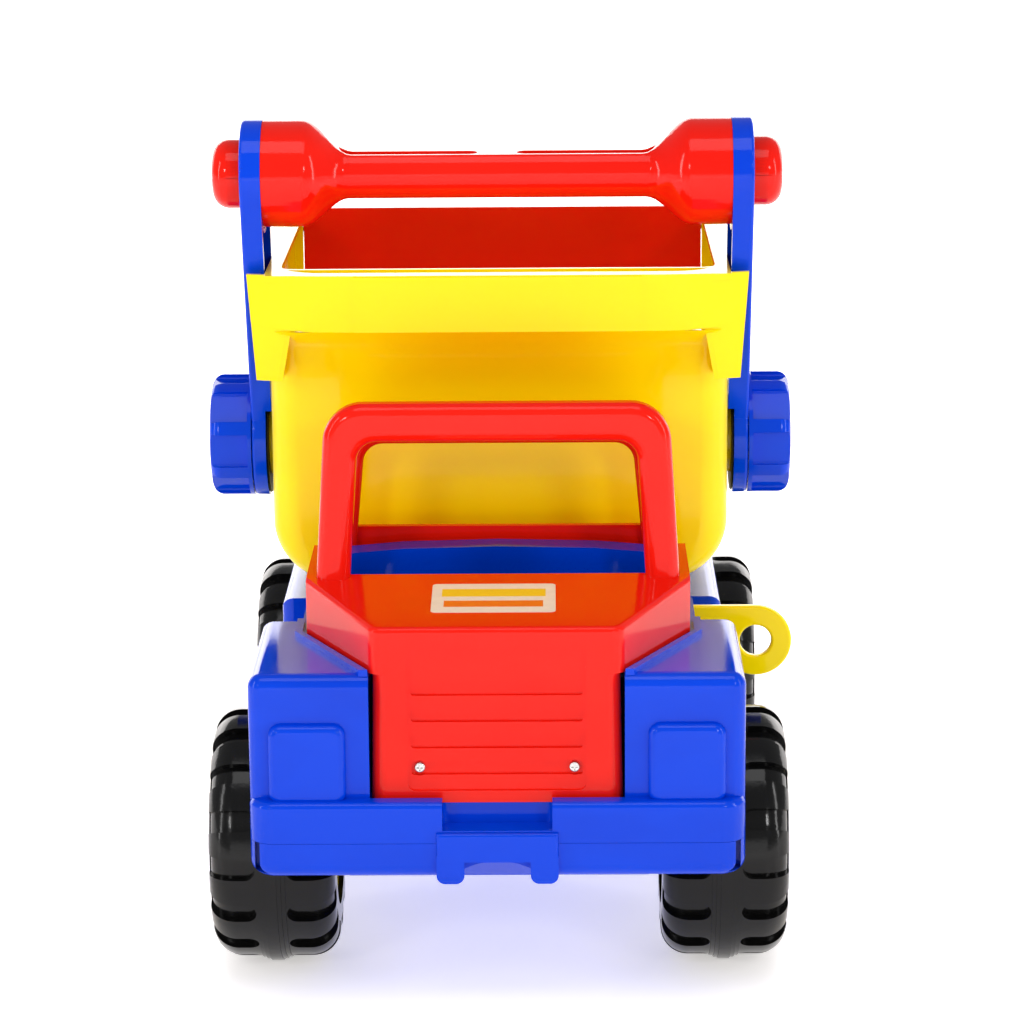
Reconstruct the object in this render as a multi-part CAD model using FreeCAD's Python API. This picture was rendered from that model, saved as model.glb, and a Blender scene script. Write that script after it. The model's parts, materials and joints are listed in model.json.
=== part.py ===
"""Ride-along toy dump truck, an assembly of moulded plastic pieces on two steel axles.

Units are millimetres, +Z is up and the truck's nose points to -Y. Everything is laid out with
Y = 0 on the front axle; save() then moves it so that the origin is the bottom centre.
"""
import FreeCAD
import Part
import math
import os

# ---- driving dimensions ----
WHEELBASE = 366.0
ORIGIN_SHIFT_Y = -168.75       # front axle position once the truck is centred on its origin
WALL = 3.0                     # moulded wall thickness
CLEAR = 0.3                    # air gap between pieces that move past each other
RUN = 0.08                     # radial play of a shaft in its hole

AXLE_Z = 77.5
AXLE_R = 4.0
WHEEL_X = 133.0                # middle of a wheel
TYRE_HALF_WIDTH = 37.0
TYRE_R = 74.5                  # over the lugs
RIB_R = 77.5                   # over the centre rib, which the truck stands on
TYRE_BORE_R = 44.0
SHOULDER_R = 16.0
POCKET_DEPTH = 4.5
LUG_COUNT = 16
POCKET_WIDTH = 12.5
ARCH_R = 84.0

BODY_HALF = 142.5              # fenders and bumper
SPINE_HALF = 88.0              # chassis between the wheels
BED_HALF = 138.0
BUMPER_FRONT = -103.0
BUMPER_BOTTOM = 82.0
SEAM_Z = 103.5                 # joint between the upper and lower chassis mouldings
BUMPER_TOP = 127.5
BUMPER_ROUND = 15.0            # the bumper's upright front corners
NOTCH_HALF = 31.5              # gap in the bumper's top, above the tow block
NOTCH_FLOOR = 111.0
FENDER_FRONT = -92.0
FENDER_REAR = 28.0
FENDER_TOP = 200.0
CAB_BASE_HALF = 118.0
CAB_REAR = 80.0
DECK_TOP = 165.0
BED_FRONT = 128.0
BED_REAR = 424.0
BED_TOP = 188.0
PAN_BOTTOM = 66.0
HITCH_HALF = 35.0
HITCH_LEG_INNER = 19.0
HITCH_TOP = 110.0
HITCH_BAR_LOW = 93.0

HOOD_FRONT = -90.0
HOOD_HALF_TOP = 70.8
HOOD_HALF_LOW = 72.4
HOOD_HALF_REAR = 113.5
HOOD_TOP_FRONT = 227.5
HOOD_TOP_REAR = 234.5
DASH_Y = 6.0                   # rear edge of the hood top, at the foot of the windscreen
NOSE_BOTTOM = 124.0
GRILLE_PITCH = 15.7
GRILLE_LOW_Z = 144.3
GRILLE_SCREW_X = 44.4

HOOP_TOP = 339.0
HOOP_BAR = 23.0
HOOP_HALF_TOP = 101.0
HOOP_HALF_BASE = 107.5
HOOP_PILLAR = 20.0
REAR_HOOP_TOP = 323.0
REAR_SILL_TOP = 247.5

BUCKET_HALF = 141.0
BUCKET_FRONT = 103.0
BUCKET_REAR = 331.0
BUCKET_BOTTOM = 201.5
BUCKET_RIM = 401.0
BUCKET_CORNER = 40.0
RIM_FRONT = 80.0
RIM_INNER_HALF = 132.5
RIM_FRONT_WIDTH = 11.0
PANEL_RISE = 0.8               # the flat load panel stands this much above the bucket floor
EAR_HALF = 152.0               # half width over the ears, at the rim and at their feet
EAR_HALF_LOW = 147.0
BAND_BOTTOM = 366.5
EAR_BOTTOM = 336.0
EAR_SWEEP = 8.0                # how far the ears' outer ends bend backwards
BAND_THICK = 3.6
FLARE_START = 324.0            # height where the front wall starts to curve forward
FLARE_R = 50.3
CORNER_R = 18.0                # the bucket's upright front corners
EAR_INNER_LOW = 131.0          # inner edge of an ear at its foot, and where it meets the band
EAR_INNER_HIGH = 124.0

HINGE_Y = 352.0
HINGE_Z = 196.0
HINGE_PIN_R = 3.0
GATE_PIN_Y = 324.0
GATE_PIN_Z = 392.0
GATE_PIN_R = 2.5

PIVOT_Y = 163.0                # handle pivot, through the bucket's sides
PIVOT_Z = 286.0
BOLT_R = 4.0
ARM_INNER = 145.5
ARM_THICK = 9.0
ARM_FLANGE_INNER = 141.7       # above the pivot disc the arm's edges reach further inwards
ARM_LOW_HALF = 28.0
ARM_END_R = 33.0
ARM_DISC_R = 38.0
HANDLE_Y = 112.0
HANDLE_Z = 459.0
GRIP_END_R = 32.5
GRIP_R = 15.5
GRIP_FLAT = 12.0               # height of the scooped flat on the grip above its axis
CAP_R = 21.0
KNOB_R = 38.0
KNOB_OUTER = 181.0
KNOB_FLUTES = 8

LATCH_Y = 106.0
LATCH_THICK = 6.0
LATCH_LOW = 178.8
LATCH_HIGH = 187.2
RING_X = 158.6
RING_Z = 164.9
RING_R = 22.3
RING_HOLE_R = 9.8


# ---- small helpers ----
def vec(x, y, z):
    return FreeCAD.Vector(x, y, z)


def box(x0, x1, y0, y1, z0, z1):
    return Part.makeBox(x1 - x0, y1 - y0, z1 - z0, vec(x0, y0, z0))


def wide_box(half, y0, y1, z0, z1):
    return box(-half, half, y0, y1, z0, z1)


def rod_x(radius, x0, x1, y, z):
    return Part.makeCylinder(radius, x1 - x0, vec(x0, y, z), vec(1, 0, 0))


def rod_y(radius, y0, y1, x, z):
    return Part.makeCylinder(radius, y1 - y0, vec(x, y0, z), vec(0, 1, 0))


def rod_z(radius, z0, z1, x, y):
    return Part.makeCylinder(radius, z1 - z0, vec(x, y, z0), vec(0, 0, 1))


def prism(points, push):
    """A closed outline of 3D points, extruded along push."""
    return Part.Face(Part.makePolygon(points + points[:1])).extrude(push)


def side_prism(points_yz, x0, x1):
    return prism([vec(x0, y, z) for y, z in points_yz], vec(x1 - x0, 0, 0))


def front_prism(points_xz, y0, y1):
    return prism([vec(x, y0, z) for x, z in points_xz], vec(0, y1 - y0, 0))


def plan_prism(points_xy, z0, z1):
    return prism([vec(x, y, z0) for x, y in points_xy], vec(0, 0, z1 - z0))


def flip(shape):
    """The mirror image across the truck's middle plane."""
    return shape.mirror(vec(0, 0, 0), vec(1, 0, 0))


def both(shape):
    return [shape, flip(shape)]


def union(shapes):
    return shapes[0].multiFuse(shapes[1:]).removeSplitter()


def spin_x(profile_xr, y=0.0, z=AXLE_Z):
    """A closed outline of (x, radius) points turned about the line through y, z along X."""
    points = [vec(x, y, z + r) for x, r in profile_xr]
    face = Part.Face(Part.makePolygon(points + points[:1]))
    return face.revolve(vec(0, y, z), vec(1, 0, 0), 360)


def arc_points(cx, cr, radius, start, end, steps):
    """Points on a circle arc, angles in degrees, for outlines that spin_x turns."""
    turn = [math.radians(start + (end - start) * i / steps) for i in range(steps + 1)]
    return [(cx + radius * math.cos(a), cr + radius * math.sin(a)) for a in turn]


def edges_where(shape, test):
    """Edges whose middle point and direction pass the test."""
    chosen = []
    for edge in shape.Edges:
        middle = edge.valueAt((edge.FirstParameter + edge.LastParameter) / 2)
        ends = [v.Point for v in edge.Vertexes]
        run = ends[-1].sub(ends[0]) if len(ends) > 1 else vec(0, 0, 0)
        if run.Length > 0:
            run.normalize()
        if test(middle, run, edge):
            chosen.append(edge)
    return chosen


def soften(shape, radius, test):
    return shape.makeFillet(radius, edges_where(shape, test))


def round_box(x0, x1, y0, y1, z0, z1, radius, axis):
    """A box with its four edges along one axis rounded; axis is 0, 1 or 2."""
    return soften(box(x0, x1, y0, y1, z0, z1), radius, lambda m, run, e: abs(run[axis]) > 0.99)


def save(name, shape):
    placed = shape.copy()
    placed.translate(vec(0, ORIGIN_SHIFT_Y, 0))
    placed.exportStep("parts/" + name + ".step")


def group(shapes):
    return Part.makeCompound(shapes)


# ---- wheels ----
def tyre_ring(half, radius, bore, shoulder):
    """A ring about X = 0 with round shoulders, from its bore out to its tread."""
    middle = shoulder * (1 - math.sqrt(0.5))
    right = [vec(half, 0, AXLE_Z + bore), vec(half, 0, AXLE_Z + radius - shoulder),
             vec(half - middle, 0, AXLE_Z + radius - middle), vec(half - shoulder, 0, AXLE_Z + radius)]
    left = [vec(-p.x, 0, p.z) for p in right]
    edges = [Part.LineSegment(right[0], right[1]).toShape(), Part.Arc(right[1], right[2], right[3]).toShape(),
             Part.LineSegment(right[3], left[3]).toShape(), Part.Arc(left[3], left[2], left[1]).toShape(),
             Part.LineSegment(left[1], left[0]).toShape(), Part.LineSegment(left[0], right[0]).toShape()]
    return Part.Face(Part.Wire(edges)).revolve(vec(0, 0, AXLE_Z), vec(1, 0, 0), 360)


def tread_pocket(side):
    """One radial slot between two lugs, rounded where it ends beside the centre rib."""
    start = 9.0 + POCKET_WIDTH / 2
    half = POCKET_WIDTH / 2
    slot = box(start, 45, -half, half, AXLE_Z + 54, AXLE_Z + 84)
    end = rod_z(half, AXLE_Z + 54, AXLE_Z + 84, start, 0)
    pocket = slot.fuse(end)
    return pocket if side > 0 else flip(pocket)


def tyre():
    """Hollow moulded tyre about X = 0: lugs over the shoulders and a stepped centre rib."""
    outer = tyre_ring(TYRE_HALF_WIDTH, TYRE_R, TYRE_BORE_R, SHOULDER_R)
    core = tyre_ring(TYRE_HALF_WIDTH - 1, TYRE_R - POCKET_DEPTH, TYRE_BORE_R, SHOULDER_R - 1)
    pockets = []
    for side in (-1, 1):
        for i in range(LUG_COUNT):
            slot = tread_pocket(side)
            slot.rotate(vec(0, 0, AXLE_Z), vec(1, 0, 0), 360.0 * i / LUG_COUNT)
            pockets.append(slot)
    body = outer.cut(pockets).fuse(core)
    rib = [rod_x(RIB_R - 2, -8.5, 8.5, 0, AXLE_Z),
           rod_x(RIB_R - 0.9, -6, 6, 0, AXLE_Z),
           rod_x(RIB_R, -3.5, 3.5, 0, AXLE_Z)]
    body = body.fuse(rib)
    air = tyre_ring(TYRE_HALF_WIDTH - 3.5, TYRE_R - 7.2, TYRE_BORE_R + 2.5, SHOULDER_R - 3)
    bore = rod_x(TYRE_BORE_R, -50, 50, 0, AXLE_Z)
    return body.cut([air, bore]).removeSplitter()


def hub():
    """Dished wheel centre about X = 0, its show side towards +X, hollow between two discs."""
    rim = TYRE_BORE_R - 0.1
    bore = AXLE_R + RUN
    outline = [(-34, bore), (-34, rim), (35, rim), (35, 39.5), (32, 38), (25, 33), (23, 15), (32, 12.5), (32, bore)]
    body = spin_x(outline)
    air = spin_x([(-31, 12), (-31, rim - 3), (28, rim - 3), (22, 33), (20, 16), (20, 12)])
    body = body.cut(air)
    studs = []
    for i in range(6):
        stud = rod_x(3.6, 22, 27.5, 0, AXLE_Z + 23.5)
        stud.rotate(vec(0, 0, AXLE_Z), vec(1, 0, 0), 60.0 * i)
        studs.append(stud)
    return body.fuse(studs).removeSplitter()


def axle_cap():
    """Domed push cap on an axle end, beside the hub's boss."""
    outline = [(165.4, 0.01)] + [(165.4, 9.5), (167, 9.5)] + arc_points(160.9, 0, 11.3, 56, 2, 6)
    dome = spin_x(outline)
    return dome.cut(rod_x(AXLE_R, 160, 169, 0, AXLE_Z))


def save_wheels():
    axle = rod_x(AXLE_R, -168.8, 168.8, 0, AXLE_Z)
    for end, y in (("front", 0.0), ("rear", WHEELBASE)):
        rod = axle.copy()
        rod.translate(vec(0, y, 0))
        save(end + "_axle", rod)
        caps = both(axle_cap())
        for cap in caps:
            cap.translate(vec(0, y, 0))
        save(end + "_axle_caps", group(caps))
    for side_name, side in (("left", 1), ("right", -1)):
        rubber = tyre()
        centre = hub()
        for piece in (rubber, centre):
            piece.translate(vec(WHEEL_X, 0, 0))
        if side < 0:
            rubber = flip(rubber)
            centre = flip(centre)
        for end, y in (("front", 0.0), ("rear", WHEELBASE)):
            for name, piece in (("tyre", rubber), ("hub", centre)):
                placed = piece.copy()
                placed.translate(vec(0, y, 0))
                save("_".join((name, end, side_name)), placed)


# ---- chassis ----
def arches(inset):
    """Wheel clearance cylinders outside the spine, at both axles."""
    cuts = []
    for y in (0.0, WHEELBASE):
        cuts += both(rod_x(ARCH_R + inset, SPINE_HALF + 3 - inset, 160, y, AXLE_Z))
    return cuts


def bumper_bar(inset, low, high, front_round):
    """The bumper's full-width bar between two heights, its front corners rounded."""
    bar = wide_box(BODY_HALF - inset, BUMPER_FRONT + inset, FENDER_FRONT + 8, low, high)
    bar = soften(bar, front_round, lambda m, run, e: abs(run.z) > 0.99 and m.y < BUMPER_FRONT + inset + 1)
    if inset > 0:
        return bar
    return soften(bar, 4, lambda m, run, e: m.z > high - 0.1 and m.y < FENDER_FRONT + 7)


def fender_block(inset):
    """Side outline of the fenders pulled across the full width, with soft outer edges."""
    t = inset
    outline = [(FENDER_FRONT + t, SEAM_Z + t), (FENDER_FRONT + t, FENDER_TOP - t), (FENDER_REAR - t, FENDER_TOP - t),
               (FENDER_REAR + 24 - t, 172 - t), (94 - t, 150 - t), (94 - t, SEAM_Z + t)]
    block = side_prism(outline, -BODY_HALF + t, BODY_HALF - t)

    def edge(m, run, e):
        outer = abs(m.x) > BODY_HALF - t - 0.1
        top = m.z > FENDER_TOP - t - 0.1
        front = m.y < FENDER_FRONT + t + 0.1
        return (outer and top) or (top and front) or (outer and front)
    return soften(block, 8 - t, edge)


def bed_block(inset):
    """The flat rear bed under the bucket."""
    t = inset
    block = wide_box(BED_HALF - t, BED_FRONT + t, BED_REAR - t, 163 + t, BED_TOP - t)
    outer = BED_HALF - t - 0.1
    return soften(block, 8 - t, lambda m, run, e: abs(m.x) > outer and m.z > 165 + t)


def seat_block(inset):
    """The raised seat that shows through the windscreen, slightly crowned."""
    t = inset
    top = [(96 - t, 237 - t), (58, 240.2 - t), (0, 241.5 - t), (-58, 240.2 - t), (-96 + t, 237 - t)]
    return front_prism([(-96 + t, 170), (96 - t, 170)] + top, 46 + t, CAB_REAR - 15.3 - t)


def chassis_form(inset):
    """The upper chassis block, or the space inside its walls when inset is the wall."""
    t = inset
    low = SEAM_Z if t == 0 else SEAM_Z - 20
    parts = [
        bumper_bar(t, low, BUMPER_TOP - t, BUMPER_ROUND - t),
        fender_block(t),
        wide_box(CAB_BASE_HALF - t, -20, CAB_REAR - t, 150, FENDER_TOP - t),
        wide_box(CAB_BASE_HALF - 1 - t, 20, BED_FRONT + 6, 140 + t, DECK_TOP - t),
        bed_block(t),
        wide_box(SPINE_HALF - t, BED_FRONT + t, BED_REAR - 1 - t, DECK_TOP - 20, BED_TOP - t),
        wide_box(SPINE_HALF - t, FENDER_FRONT + 2 + t, BED_REAR - 1 - t, low, DECK_TOP + 1 - t),
        seat_block(t),
    ]
    form = union(parts)
    well = wide_box(HOOD_HALF_LOW + 0.8 + t, FENDER_FRONT - 0.5, FENDER_REAR + t, NOSE_BOTTOM - 0.5 - t, 260)
    return form.cut(arches(t) + [well])


def headlight_pad():
    pad = round_box(86.5, 131, FENDER_FRONT - 6, FENDER_FRONT + 1, BUMPER_TOP - 3, 172, 7, 1)
    return soften(pad, 4.5, lambda m, run, e: abs(m.y - (FENDER_FRONT - 6)) < 0.1)


def latch_guides():
    """Two staples on the deck that the latch bar slides through."""
    guides = []
    for x in (68, 96):
        block = box(x, x + 10, LATCH_Y - 5, LATCH_Y + LATCH_THICK + 5, DECK_TOP - 1, LATCH_HIGH + 4)
        slot = box(x - 1, x + 11, LATCH_Y - CLEAR, LATCH_Y + LATCH_THICK + CLEAR, LATCH_LOW - CLEAR, LATCH_HIGH + CLEAR)
        guides.append(block.cut(slot))
    return guides


def hinge_lugs():
    """Lugs on the bed that carry the bucket's hinge pin."""
    lugs = []
    for x in (40, 66):
        foot = box(x, x + 9, HINGE_Y - 10, HINGE_Y + 10, BED_TOP - 4, HINGE_Z)
        crown = rod_x(10, x, x + 9, HINGE_Y, HINGE_Z)
        lug = foot.fuse(crown).cut(rod_x(HINGE_PIN_R, x - 1, x + 10, HINGE_Y, HINGE_Z))
        lugs += both(lug.common(box(x, x + 9, HINGE_Y - 12, HINGE_Y + 12, BED_TOP - 4, HINGE_Z + 20)))
    return lugs


def screw_places():
    return [(x, y) for y in (-30.0, 110.0, 250.0, 400.0) for x in (-62.0, 62.0)]


def hood_lip():
    """The low ridge on the fender tops that the hood's flared sides stand behind."""
    ridge = plan_prism([(73.6, FENDER_FRONT + 3), (78.6, FENDER_FRONT + 3), (120.5, -4), (120.5, 24), (116, 24),
                        (116, -4.5)], FENDER_TOP - 1, FENDER_TOP + 3)
    return both(ridge)


def chassis_upper():
    shell = chassis_form(0.0).cut(chassis_form(WALL))
    shell = shell.fuse(both(headlight_pad()) + latch_guides() + hinge_lugs() + hood_lip())
    posts = []
    for x, y in screw_places():
        post_top = NOSE_BOTTOM - 2 if y < 0 else DECK_TOP - 1 if y < BED_FRONT else BED_TOP - 1
        posts.append(rod_z(5.5, SEAM_Z + 0.2, post_top, x, y))
    shell = shell.fuse(posts)
    holes = [rod_z(1.5, SEAM_Z - 1, SEAM_Z + 14, x, y) for x, y in screw_places()]
    trough = wide_box(NOTCH_HALF + WALL, BUMPER_FRONT + 2, FENDER_FRONT + 8, NOTCH_FLOOR - WALL, NOSE_BOTTOM - 0.5)
    notch = wide_box(NOTCH_HALF, BUMPER_FRONT - 1, FENDER_FRONT + 5, NOTCH_FLOOR, NOSE_BOTTOM + 6)
    notch = soften(notch, 4, lambda m, run, e: abs(run.z) > 0.99 and m.y > FENDER_FRONT)
    return shell.fuse(trough).cut(holes + [notch]).removeSplitter()


def pan_form(inset):
    """The lower chassis: a boxed spine with the bumper's lower half across its front."""
    t = inset
    top = SEAM_Z - 0.2 if t == 0 else SEAM_Z + 5
    side = [(-96 + t, top), (-96 + t, 92 + t), (-84 + t, 92 + t), (-50 + t, PAN_BOTTOM + t),
            (BED_REAR - 8 - t, PAN_BOTTOM + t), (BED_REAR - t, PAN_BOTTOM + 10 + t), (BED_REAR - t, top)]
    spine = side_prism(side, -SPINE_HALF + t, SPINE_HALF - t)
    bumper = wide_box(BODY_HALF - t, BUMPER_FRONT + t, FENDER_FRONT + 8 - t, BUMPER_BOTTOM + t, top)
    if t == 0:
        side_x = BODY_HALF - 0.1
        bumper = soften(bumper, BUMPER_ROUND, lambda m, run, e: abs(run.z) > 0.99 and m.y < BUMPER_FRONT + 1)
        bumper = soften(bumper, 9, lambda m, run, e: m.z < BUMPER_BOTTOM + 0.1 and (m.y < FENDER_FRONT or abs(m.x) > side_x))
    return spine.fuse(bumper).removeSplitter()


def hitch_block():
    """Tow block under the bumper's middle: a thick rounded bar on two legs."""
    front = BUMPER_FRONT - 3
    block = wide_box(HITCH_HALF, BUMPER_FRONT, FENDER_FRONT + 8, 86, SEAM_Z - 0.2)
    bar = wide_box(HITCH_HALF, front, BUMPER_FRONT - 0.2, 84, HITCH_TOP)
    bar = soften(bar, 2.2, lambda m, run, e: m.y < front + 0.1 and m.z > 90)
    legs = both(round_box(HITCH_LEG_INNER, HITCH_HALF, front, BUMPER_FRONT + 12, 80, 100, 5, 1))
    return [block, bar] + legs


def hitch_gaps():
    """The square gap between the legs in front, and the arched edge of the bumper behind it."""
    square = wide_box(HITCH_LEG_INNER, BUMPER_FRONT - 5, BUMPER_FRONT + 4, 70, HITCH_BAR_LOW)
    tunnel = rod_y(42, BUMPER_FRONT, FENDER_FRONT + 10, 0, HITCH_BAR_LOW - 43.5)
    return [square, tunnel.common(wide_box(HITCH_LEG_INNER, BUMPER_FRONT, FENDER_FRONT + 10, 70, HITCH_BAR_LOW))]


def chassis_lower():
    shell = pan_form(0.0).cut(pan_form(WALL))
    bosses = []
    for y in (0.0, WHEELBASE):
        bosses += both(rod_x(9, SPINE_HALF - 14, WHEEL_X - 34 - CLEAR, y, AXLE_Z))
    posts = [rod_z(6, PAN_BOTTOM + 1, SEAM_Z - 0.2, x, y) for x, y in screw_places()]
    body = shell.fuse(bosses + posts + hitch_block())
    tunnels = [rod_x(AXLE_R, -120, 120, y, AXLE_Z) for y in (0.0, WHEELBASE)]
    holes = [rod_z(1.9, 50, SEAM_Z + 5, x, y) for x, y in screw_places()]
    sinks = [rod_z(3.8, 50, PAN_BOTTOM + 6, x, y) for x, y in screw_places()]
    return body.cut(tunnels + holes + sinks + hitch_gaps()).removeSplitter()


def chassis_screws():
    screws = []
    for x, y in screw_places():
        head = rod_z(3.4, PAN_BOTTOM + 3, PAN_BOTTOM + 5.5, x, y)
        screws.append(rod_z(1.5, PAN_BOTTOM + 3, SEAM_Z + 13, x, y).fuse(head))
    return screws


def save_chassis():
    save("chassis_upper", chassis_upper())
    save("chassis_lower", chassis_lower())
    save("chassis_screws", group(chassis_screws()))


# ---- hood and cab ----
def nose_block(inset):
    """The upright nose between the fenders, wider at its foot."""
    t = inset
    low = NOSE_BOTTOM if t == 0 else NOSE_BOTTOM - 20
    front = HOOD_FRONT if t == 0 else HOOD_FRONT + 7
    top = FENDER_TOP + 2
    nose = front_prism([(-HOOD_HALF_LOW + t, low), (HOOD_HALF_LOW - t, low), (HOOD_HALF_TOP - t, top),
                        (-HOOD_HALF_TOP + t, top)], front, FENDER_REAR - 1 - t)
    return soften(nose, 9 - t, lambda m, run, e: abs(run.z) > 0.9 and m.y < front + 0.1)


def flare_block(inset):
    """The hood's upper part, flaring from the nose to the cab's width, under a sloping top."""
    t = inset
    front = HOOD_FRONT if t == 0 else HOOD_FRONT + 7
    bend = -4 + t * 0.6
    half = HOOD_HALF_TOP - t
    wide = HOOD_HALF_REAR - t
    rear = CAB_REAR - 1 - t
    outline = [(-half, front), (half, front), (wide, bend), (wide, rear), (-wide, rear), (-wide, bend)]
    block = plan_prism(outline, FENDER_TOP + 0.3 - 5 * t, 250)
    above = side_prism([(-140, HOOD_TOP_FRONT - 4 - t), (HOOD_FRONT, HOOD_TOP_FRONT - t), (DASH_Y, HOOD_TOP_REAR - t),
                        (140, HOOD_TOP_REAR - t), (140, 300), (-140, 300)], -160, 160)
    block = block.cut(above)
    if t > 0:
        return block

    block = soften(block, 9, lambda m, run, e: abs(run.z) > 0.99 and m.y < front + 0.1)

    def edge(m, run, e):
        upright = abs(run.z) > 0.99 and abs(m.y - bend) < 0.1
        top = m.z > HOOD_TOP_FRONT - 0.1 and m.y < bend
        return upright or top
    return soften(block, 3.5, edge)


def hood_form(inset):
    """Nose and flared hood block, or the space inside its walls."""
    return nose_block(inset).fuse(flare_block(inset)).removeSplitter()


def hoop(y0, y1, top, half_top, low, low_inner):
    """A windscreen or rear window frame: a rounded-trapezium loop open at its foot."""
    outer = front_prism([(-HOOP_HALF_BASE, low), (HOOP_HALF_BASE, low), (half_top, top), (-half_top, top)], y0, y1)
    outer = soften(outer, 24, lambda m, run, e: abs(run.y) > 0.99 and abs(m.z - top) < 0.1)
    inner_base = HOOP_HALF_BASE - HOOP_PILLAR
    inner = front_prism([(-inner_base, low_inner), (inner_base, low_inner), (half_top - HOOP_PILLAR + 1, top - HOOP_BAR),
                         (-half_top + HOOP_PILLAR - 1, top - HOOP_BAR)], y0 - 1, y1 + 1)
    inner = soften(inner, 12, lambda m, run, e: abs(run.y) > 0.99 and abs(m.z - (top - HOOP_BAR)) < 0.1)
    loop = outer.cut(inner)
    radius = 7 if y1 - y0 > 15 else 5
    return soften(loop, radius, lambda m, run, e: (abs(m.y - y0) < 0.1 or abs(m.y - y1) < 0.1) and m.z > low + 2
                  and m.z > low_inner + 1 and abs(run.y) < 0.5)


def roof():
    """Roof skin falling gently from the windscreen frame to the rear frame."""
    skin = side_prism([(5, HOOP_TOP - 9), (5, HOOP_TOP - 3), (70, REAR_HOOP_TOP - 2), (70, REAR_HOOP_TOP - 8)], -88, 88)
    return skin


def hood_cab():
    shell = hood_form(0.0).cut(hood_form(WALL))
    cabin = wide_box(HOOP_HALF_BASE - 1.5, DASH_Y + 9, CAB_REAR - 4, FENDER_TOP - 5, 260)
    opening = wide_box(HOOP_HALF_BASE - HOOP_PILLAR + 1, DASH_Y + 1, CAB_REAR - 4, HOOD_TOP_REAR - 8, 260)
    shell = shell.cut([cabin, opening])
    rear_wall = wide_box(HOOP_HALF_BASE, CAB_REAR - 6, CAB_REAR - 1, FENDER_TOP + 1, REAR_SILL_TOP)
    foot = HOOD_TOP_REAR - 2.3
    front_hoop = hoop(-4, 14, HOOP_TOP, HOOP_HALF_TOP, foot, foot - 1)
    rear_hoop = hoop(CAB_REAR - 15, CAB_REAR - 1, REAR_HOOP_TOP, HOOP_HALF_TOP - 1, foot, foot - 1)
    body = shell.fuse([rear_wall, front_hoop, rear_hoop, roof()])
    panel = wide_box(51, HOOD_FRONT - 1, HOOD_FRONT + 1.6, NOSE_BOTTOM + 7, HOOD_TOP_FRONT - 13)
    panel = soften(panel, 4, lambda m, run, e: abs(run.y) > 0.99)
    slots = []
    for i in range(4):
        z = GRILLE_LOW_Z + i * GRILLE_PITCH
        slots.append(round_box(-49, 49, HOOD_FRONT, HOOD_FRONT + 3.6, z - 4.1, z + 4.1, 1.5, 1))
    seats = [rod_y(4.6, HOOD_FRONT, HOOD_FRONT + 3.8, x, GRILLE_LOW_Z) for x in (-GRILLE_SCREW_X, GRILLE_SCREW_X)]
    holes = [rod_y(1.5, HOOD_FRONT, HOOD_FRONT + 12, x, GRILLE_LOW_Z) for x in (-GRILLE_SCREW_X, GRILLE_SCREW_X)]
    return body.cut([panel] + slots + seats + holes).removeSplitter()


def grille_screws():
    """Pan-head screws with a cross recess, one at each end of the lowest grille slot."""
    screws = []
    for x in (-GRILLE_SCREW_X, GRILLE_SCREW_X):
        head = rod_y(3.1, HOOD_FRONT + 1.6, HOOD_FRONT + 3.8, x, GRILLE_LOW_Z)
        head = soften(head, 1, lambda m, run, e: abs(m.y - (HOOD_FRONT + 1.6)) < 0.1)
        bars = [box(x - 1.9, x + 1.9, HOOD_FRONT + 1, HOOD_FRONT + 2.6, GRILLE_LOW_Z - 0.4, GRILLE_LOW_Z + 0.4),
                box(x - 0.4, x + 0.4, HOOD_FRONT + 1, HOOD_FRONT + 2.6, GRILLE_LOW_Z - 1.9, GRILLE_LOW_Z + 1.9)]
        shank = rod_y(1.5, HOOD_FRONT + 3.8, HOOD_FRONT + 14, x, GRILLE_LOW_Z)
        screws.append(head.cut(bars).fuse(shank))
    return screws


def hood_label():
    """Thin blank label lying on the sloping hood top."""
    slope = math.degrees(math.atan2(HOOD_TOP_REAR - HOOD_TOP_FRONT, DASH_Y - HOOD_FRONT))
    label = round_box(-36, 36, -25, 25, 0, 0.4, 3, 2)
    label.rotate(vec(0, 0, 0), vec(1, 0, 0), slope)
    middle = -38.0
    height = HOOD_TOP_FRONT + (middle - HOOD_FRONT) * math.tan(math.radians(slope))
    label.translate(vec(-2, middle, height))
    return label


def save_cab():
    save("hood_cab", hood_cab())
    save("grille_screws", group(grille_screws()))
    save("hood_label", hood_label())


# ---- dump bucket ----
def bucket_form(inset, rear):
    """The bucket's outer block, or the space inside its walls."""
    t = inset
    top = BUCKET_RIM if t == 0 else BUCKET_RIM + 10
    form = wide_box(BUCKET_HALF - t, BUCKET_FRONT + t, rear, BUCKET_BOTTOM + t, top)
    form = soften(form, BUCKET_CORNER - t, lambda m, run, e: abs(run.y) > 0.99 and abs(m.z - BUCKET_BOTTOM - t) < 0.1)
    return soften(form, CORNER_R - t, lambda m, run, e: abs(m.y - BUCKET_FRONT - t) < 0.1 and m.z < top - 0.1)


def plan_wire(half, front, corner, z):
    """Outline at one height: straight sides and front joined by rounded corners."""
    back = BUCKET_FRONT + 45
    lean = corner * (1 - math.sqrt(0.5))
    corners = []
    for side in (-1, 1):
        start = vec(side * half, front + corner, z)
        middle = vec(side * (half - lean), front + lean, z)
        end = vec(side * (half - corner), front, z)
        corners.append((start, middle, end))
    left, right = corners
    edges = [Part.LineSegment(vec(-half, back, z), left[0]).toShape(), Part.Arc(*left).toShape(),
             Part.LineSegment(left[2], right[2]).toShape(), Part.Arc(right[2], right[1], right[0]).toShape(),
             Part.LineSegment(right[0], vec(half, back, z)).toShape(),
             Part.LineSegment(vec(half, back, z), vec(-half, back, z)).toShape()]
    return Part.Wire(edges)


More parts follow.
